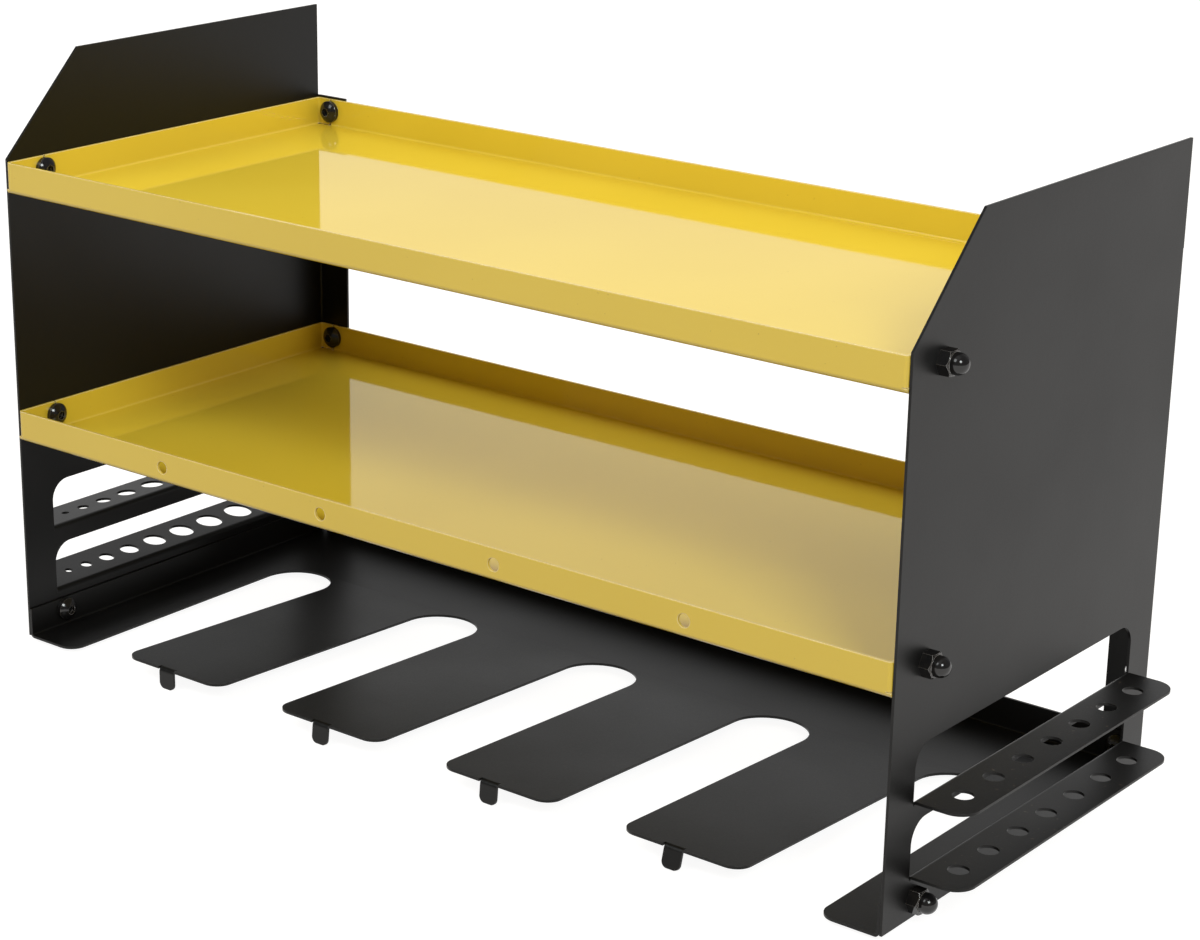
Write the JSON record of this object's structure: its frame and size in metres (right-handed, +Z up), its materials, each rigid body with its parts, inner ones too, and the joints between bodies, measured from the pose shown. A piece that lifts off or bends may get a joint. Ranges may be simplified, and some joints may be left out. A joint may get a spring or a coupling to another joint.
{
  "type": "power tool organizer",
  "caption": "Wall-hung rack of folded sheet steel with two shelf trays, a slotted plate that drills hang in, and side racks with holes for bits.",
  "frame": {"origin": "middle of the rectangle of the four outer wall bolts, on the face of the wall", "axes": "+X to the viewer's right, +Y into the wall along the wall bolts, +Z up"},
  "size_m": [0.5489, 0.2266, 0.2901],
  "materials": {
    "black_powder_coat": "satin black powder coat",
    "yellow_gloss_paint": "high-gloss yellow paint",
    "black_plated_steel": "glossy black plating"
  },
  "bodies": {
    "root": {"left_side_panel": "black_powder_coat", "right_side_panel": "black_powder_coat", "upper_tray": "yellow_gloss_paint", "lower_tray": "yellow_gloss_paint", "slotted_plate": "black_powder_coat", "upper_tray_left_bolt": "black_plated_steel", "upper_tray_right_bolt": "black_plated_steel", "lower_tray_left_bolt": "black_plated_steel", "lower_tray_right_bolt": "black_plated_steel", "plate_left_bolt": "black_plated_steel", "plate_right_bolt": "black_plated_steel", "upper_tray_left_cap_nut": "black_plated_steel", "upper_tray_right_cap_nut": "black_plated_steel", "lower_tray_left_cap_nut": "black_plated_steel", "lower_tray_right_cap_nut": "black_plated_steel", "plate_left_cap_nut": "black_plated_steel", "plate_right_cap_nut": "black_plated_steel", "upper_left_wall_bolt": "black_plated_steel", "upper_right_wall_bolt": "black_plated_steel", "middle_left_wall_bolt": "black_plated_steel", "middle_right_wall_bolt": "black_plated_steel", "lower_left_wall_bolt": "black_plated_steel", "lower_right_wall_bolt": "black_plated_steel"}
  },
  "joints": []
}
